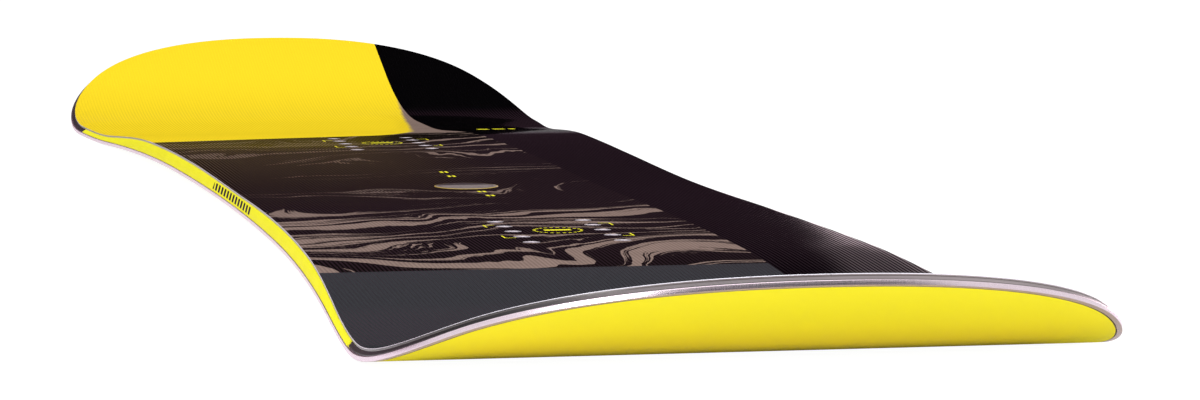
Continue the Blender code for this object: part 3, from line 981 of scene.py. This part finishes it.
def make_sides():
    """Sidewalls and tip spacers: both lean inwards above a low step and end in the same narrow slant."""
    low = EDGE_HEIGHT + SEAM

    def top(s):
        return core_top(s) + RESIN - 2 * SEAM

    def shoulder(s):
        return top(s) - SLANT_HEIGHT

    slant = [(SIDEWALL_TOP_INSET - SLANT_OUT, shoulder), (SIDEWALL_TOP_INSET + SLANT_IN, top)]
    section = [
        (SIDEWALL_INSET, low),
        (SIDEWALL_INSET, CORE_LOW + SIDEWALL_STEP),
        *slant,
        (SIDEWALL_INSET + SIDEWALL_WIDTH, top),
        (SIDEWALL_INSET + SIDEWALL_WIDTH, RABBET_TOP),
        (EDGE_WIDTH, RABBET_TOP),
        (EDGE_WIDTH, low),
    ]
    finish = sidewall_finish()
    inside = between(-CORE_END, CORE_END)
    for word, side in (("left", 1), ("right", -1)):
        mesh = rail("side_" + word, section, side, keep=inside)
        add_piece("side_" + word, mesh, [finish], "sidewall", "sidewall_" + word)
    spacer = [(SPACER_LEDGE, low), (SPACER_LEDGE, CORE_LOW + SPACER_STEP), *slant]
    black = spacer_finish()
    nose, tail = between(CORE_END, HALF_LENGTH), between(-HALF_LENGTH, -CORE_END)
    for word, keep in (("nose", nose), ("tail", tail)):
        mesh = lay(sheet(word + "_infill", spacer, keep))
        add_piece(word + "_infill", mesh, [black], "spacer", word + "_spacer")


def bored(mesh, finishes, cutters):
    """The flat mesh with the cutters' shapes taken out of it."""
    for finish in finishes:
        mesh.materials.append(finish)
    piece = placed("blank", mesh)
    for cutter in cutters:
        modifier = piece.modifiers.new("bore", "BOOLEAN")
        modifier.operation = "DIFFERENCE"
        modifier.solver = "EXACT"
        modifier.object = cutter
    graph = bpy.context.evaluated_depsgraph_get()
    made = bpy.data.meshes.new_from_object(piece.evaluated_get(graph), depsgraph=graph)
    bpy.data.objects.remove(piece)
    return made


def drills(places, radius, low, high):
    """Upright cylinders through the flat drawing at the given places, as one cutter."""
    shape = bmesh.new()
    for s, y in places:
        middle = Matrix.Translation((s, y, (low + high) / 2))
        size = {"radius1": radius, "radius2": radius, "depth": high - low}
        bmesh.ops.create_cone(shape, cap_ends=True, segments=ROUND_SEGMENTS, matrix=middle, **size)
    mesh = bpy.data.meshes.new("drills")
    shape.to_mesh(mesh)
    shape.free()
    return placed("drills", mesh)


def insert_places():
    """Name and place of each insert, in rows from the rear of its pack."""
    for pad, word in ((FRONT_PAD, "front"), (REAR_PAD, "rear")):
        number = 0
        for row in range(5):
            for column in (1, -1):
                number += 1
                yield f"{word}_{number:02d}", pad + (row - 2) * ROW_SPACING, column * COLUMN_SPACING / 2


def below_top(depth):
    """Height function of a line that keeps its depth below the board's upper face."""
    return lambda s: board_top(s) - depth


def make_top():
    """Upper laminate and printed topsheet with a rounded rim, open over the inserts and under the badge."""
    places = [(s, y) for _, s, y in insert_places()]
    through = drills(places, HOLE_RADIUS, BORE_FROM, BORE_TO)
    sink = drills([(0.0, 0.0)], BADGE_RADIUS + BADGE_SEAM, topsheet_low(0.0), BORE_TO)
    section = [(TOP_INSET, laminate_low), (TOP_INSET, lambda s: topsheet_low(s) - SEAM)]
    laminate = sheet("upper_laminate", section)
    glass = [laminate_finish("upper_glass")]
    add_piece("upper_laminate", lay(bored(laminate, glass, [through])), glass, "glass", "top_laminate")
    corner = [(0.0, 0.00030), (0.00005, 0.00014), (0.00016, 0.00004), (0.00034, 0.0), (0.00100, 0.0)]
    section = [(TOP_INSET, topsheet_low)]
    section += [(TOP_INSET + inset, below_top(depth)) for inset, depth in corner]
    rim = {0: 2, 1: 1, 2: 1, 8: 1, 9: 1, 10: 2}
    finishes = [topsheet_finish(), rim_finish(), core_of_sheet_finish()]
    mesh = bored(sheet("printed_topsheet", section, finish_of_side=rim), finishes, [through, sink])
    add_piece("printed_topsheet", lay(mesh), finishes, "topsheet", "topsheet")
    bpy.data.objects.remove(through)
    bpy.data.objects.remove(sink)


def make_inserts():
    """Threaded barrels with a wide foot, open at the top and closed below."""
    finish = insert_finish()
    for name, s, y in insert_places():
        height = board_top(s) - INSERT_RECESS - CORE_LOW
        mouth = height - INSERT_LEAD
        outline = [(0.0, INSERT_FLOOR), (THREAD_CREST, INSERT_FLOOR)]
        depth = INSERT_FLOOR + THREAD_PITCH / 2
        while depth + THREAD_PITCH / 2 < mouth:
            outline += [(THREAD_ROOT, depth), (THREAD_CREST, depth + THREAD_PITCH / 2)]
            depth += THREAD_PITCH
        outline += [
            (THREAD_CREST, mouth),
            (THREAD_ROOT, height),
            (BARREL_RADIUS - INSERT_CHAMFER, height),
            (BARREL_RADIUS, height - INSERT_CHAMFER),
            (BARREL_RADIUS, FLANGE_THICKNESS),
            (FLANGE_RADIUS, FLANGE_THICKNESS),
            (FLANGE_RADIUS, 0.0),
            (0.0, 0.0),
        ]
        mesh = turned("threaded_" + name, outline, standing_frame(s, y, CORE_LOW))
        add_piece("threaded_" + name, mesh, [finish], "insert_steel", "insert_" + name)


def make_badge():
    """Disc with a slightly domed face and a soft rim, in the topsheet's round opening."""
    low = topsheet_low(0.0) + SEAM
    top = board_top(0.0) + BADGE_RISE - low
    crown = 0.00005
    dome = [(0.0, 1.0), (0.004, 0.93), (0.008, 0.72), (0.0115, 0.4)]
    outline = [(radius, top + crown * share) for radius, share in dome]
    outline += [
        (BADGE_RADIUS - 0.0006, top),
        (BADGE_RADIUS - 0.00018, top - 0.00003),
        (BADGE_RADIUS, top - 0.00015),
        (BADGE_RADIUS, 0.0),
        (0.0, 0.0),
    ]
    rim = {4: 1, 5: 1, 6: 1}
    mesh = turned("spun_badge", outline, standing_frame(0.0, 0.0, low), BADGE_SEGMENTS, rim)
    add_piece("spun_badge", mesh, [badge_finish(), badge_rim_finish()], "badge", "centre_badge")


def dress_core():
    """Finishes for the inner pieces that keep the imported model's shape."""
    pale = wood_finish("poplar", (0.62, 0.46, 0.27), (0.44, 0.29, 0.15), 5.0)
    dark = wood_finish("beech", (0.42, 0.25, 0.13), (0.25, 0.13, 0.06), 7.0)
    mat = mat_finish()
    for name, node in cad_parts.items():
        if name.startswith("core_stringer"):
            finish = pale if int(name[-1]) % 2 else dark
        elif name.startswith("binding_mat"):
            finish = mat
        else:
            continue
        node.data.materials.clear()
        node.data.materials.append(finish)


def background_rays(graph):
    """The rays that show the background itself: seen straight, mirrored or through something clear."""
    kinds = ("Is Camera Ray", "Is Glossy Ray", "Is Transmission Ray")
    return [graph.node("ShaderNodeLightPath", output=kind) for kind in kinds]


def flat_card(name, finish, size, segments, place=Matrix.Identity(4)):
    """Rectangle of the studio, with its two sides along X and Y before it is placed."""
    shape = bmesh.new()
    fitted = place @ Matrix.Diagonal((*size, 1, 1))
    bmesh.ops.create_grid(shape, x_segments=segments[0], y_segments=segments[1], size=0.5, matrix=fitted)
    mesh = bpy.data.meshes.new(name)
    shape.to_mesh(mesh)
    shape.free()
    mesh.materials.append(finish.material)
    return placed(name, mesh)


def gloss_card(name, finish, size, middle, turn):
    """Upright card that is seen only in the board's gloss, as a studio sets it for dark glossy things."""
    place = Matrix.Translation(middle) @ Matrix.Rotation(turn, 4, "Y")
    card = flat_card(name, finish, size, (6, 12), place)
    card.visible_camera = False
    card.visible_diffuse = False
    card.visible_shadow = False
    card.visible_transmission = False


def floor_color(f):
    """White paper, with the shade that the raised nose leaves on it between its contact line and its end."""
    grain = f.noise(f.room(), 3.0, 4.0)
    white = f.mix(grain, (0.83, 0.78, 0.785), (0.85, 0.80, 0.805))
    x, y, _ = f.parts(f.room())
    beside = abs(y).ease(*SHADE_SIDE).highest(1 - x.ease(*SHADE_REAR))
    shade = f.mix(x.ease(*SHADE_FADE), (0.10, 0.06, 0.05), (0.95, 0.76, 0.70))
    return f.mix(beside.highest(x.ease(*SHADE_FRONT)), shade, white)


def make_floor():
    f = Finish("studio_floor", roughness=0.9, ior_level=0.0, emission_strength=1.0)
    seen, mirrored, through = background_rays(f)
    pale = f.mix(mirrored.highest(through), floor_color(f), (0.80, 0.72, 0.77))
    f.set("color", f.mix(seen, pale, grey(0.17)))
    f.set("emission color", f.mix(seen, f.mix(mirrored, grey(0.06), grey(0.21)), grey(0.96)))
    floor = flat_card("floor", f, (FLOOR_SIZE, FLOOR_SIZE), (8, 8))
    floor.location.z = FLOOR_HEIGHT


def make_world():
    world = bpy.data.worlds.new("studio")
    world.use_nodes = True
    bpy.context.scene.world = world
    graph = Graph(world.node_tree)
    seen, mirrored, through = background_rays(graph)
    white = graph.mix(seen.highest(mirrored).highest(through), grey(WORLD_LIGHT), grey(1.0))
    graph.fill(graph.tree.nodes["Background"].inputs["Color"], white)


def make_flag():
    """Dark card behind the board, with a bright window at its left end that shades off upwards."""
    f = Finish("studio_flag", roughness=0.95, ior_level=0.0, emission_strength=1.0)
    f.set("color", grey(0.0))
    _, across, height = f.parts(f.room())
    pane = (across - height * PANE_LEAN).ease(*PANE_BORDER) * (1 - height.ease(*PANE_DIMMING) * 0.43)
    halo = (across - height * HALO_LEAN).ease(*HALO_BORDER) * height.ease(*HALO_RISE) * 0.18
    window = pane.highest(halo) * (1 - height.ease(*WINDOW_TOP))
    card = f.mix(height.ease(0.7, 1.1), (0.17, 0.085, 0.13), (0.008, 0.006, 0.008))
    card = f.mix(height.ease(0.03, 0.07), (0.85, 0.64, 0.76), card)
    f.set("emission color", f.mix(window, card, WINDOW_LIGHT))
    gloss_card("flag", f, FLAG_SIZE, FLAG_MIDDLE, math.radians(90))


def make_front_card():
    """Card above and behind the camera, dark in its middle: it tones the steel that faces the front."""
    f = Finish("studio_front_card", roughness=0.95, ior_level=0.0, emission_strength=1.0)
    f.set("color", grey(0.0))
    _, across, height = f.parts(f.room())
    inside = across.ease(-2.9, -1.9) * (1 - across.ease(2.2, 3.4)) * height.ease(0.7, 1.1)
    f.set("emission color", f.mix(inside, grey(1.0), grey(0.08)))
    gloss_card("front_card", f, FRONT_CARD_SIZE, FRONT_CARD_MIDDLE, math.radians(-90))


def add_lamp(name, place, target, size, power, tint=(1.0, 1.0, 1.0), mirrored=True):
    lamp = bpy.data.lights.new(name, "AREA")
    lamp.color = tint
    lamp.shape = "RECTANGLE"
    lamp.size, lamp.size_y = size
    lamp.energy = power
    holder = placed(name, lamp)
    holder.location = place
    holder.rotation_euler = (Vector(target) - Vector(place)).to_track_quat("-Z", "Y").to_euler()
    holder.visible_glossy = mirrored


def make_lights():
    add_lamp("overhead_softbox", (0.0, 0.0, 2.6), (0.0, 0.0, 0.0), (3.0, 1.6), 27.0)
    add_lamp("front_left_softbox", (1.9, -2.0, 1.7), (0.4, 0.0, 0.0), (1.4, 1.0), 30.0)
    cool = (0.90, 1.0, 1.0)
    add_lamp("low_front_softbox", (3.3, 0.4, 0.64), (0.6, 0.0, 0.0), (2.4, 0.46), 116.0, cool, False)


def make_camera():
    camera = bpy.data.cameras.new("camera")
    camera.lens = CAMERA_LENS
    camera.sensor_width = SENSOR_WIDTH
    camera.clip_start, camera.clip_end = CAMERA_REACH
    forward = Vector(
        (
            math.cos(CAMERA_YAW) * math.cos(CAMERA_PITCH),
            math.sin(CAMERA_YAW) * math.cos(CAMERA_PITCH),
            math.sin(CAMERA_PITCH),
        )
    )
    level = Vector((math.sin(CAMERA_YAW), -math.cos(CAMERA_YAW), 0.0))
    down = forward.cross(level)
    right = level * math.cos(CAMERA_ROLL) + down * math.sin(CAMERA_ROLL)
    up = level * math.sin(CAMERA_ROLL) - down * math.cos(CAMERA_ROLL)
    turn = Matrix((right, up, -forward)).transposed().to_4x4()
    holder = placed("camera", camera)
    holder.matrix_world = Matrix.Translation(CAMERA_PLACE) @ turn
    bpy.context.scene.camera = holder


make_base()
make_edges()
make_sides()
make_top()
make_inserts()
make_badge()
dress_core()
make_floor()
make_world()
make_flag()
make_front_card()
make_lights()
make_camera()
bpy.context.scene.view_settings.view_transform = "Standard"
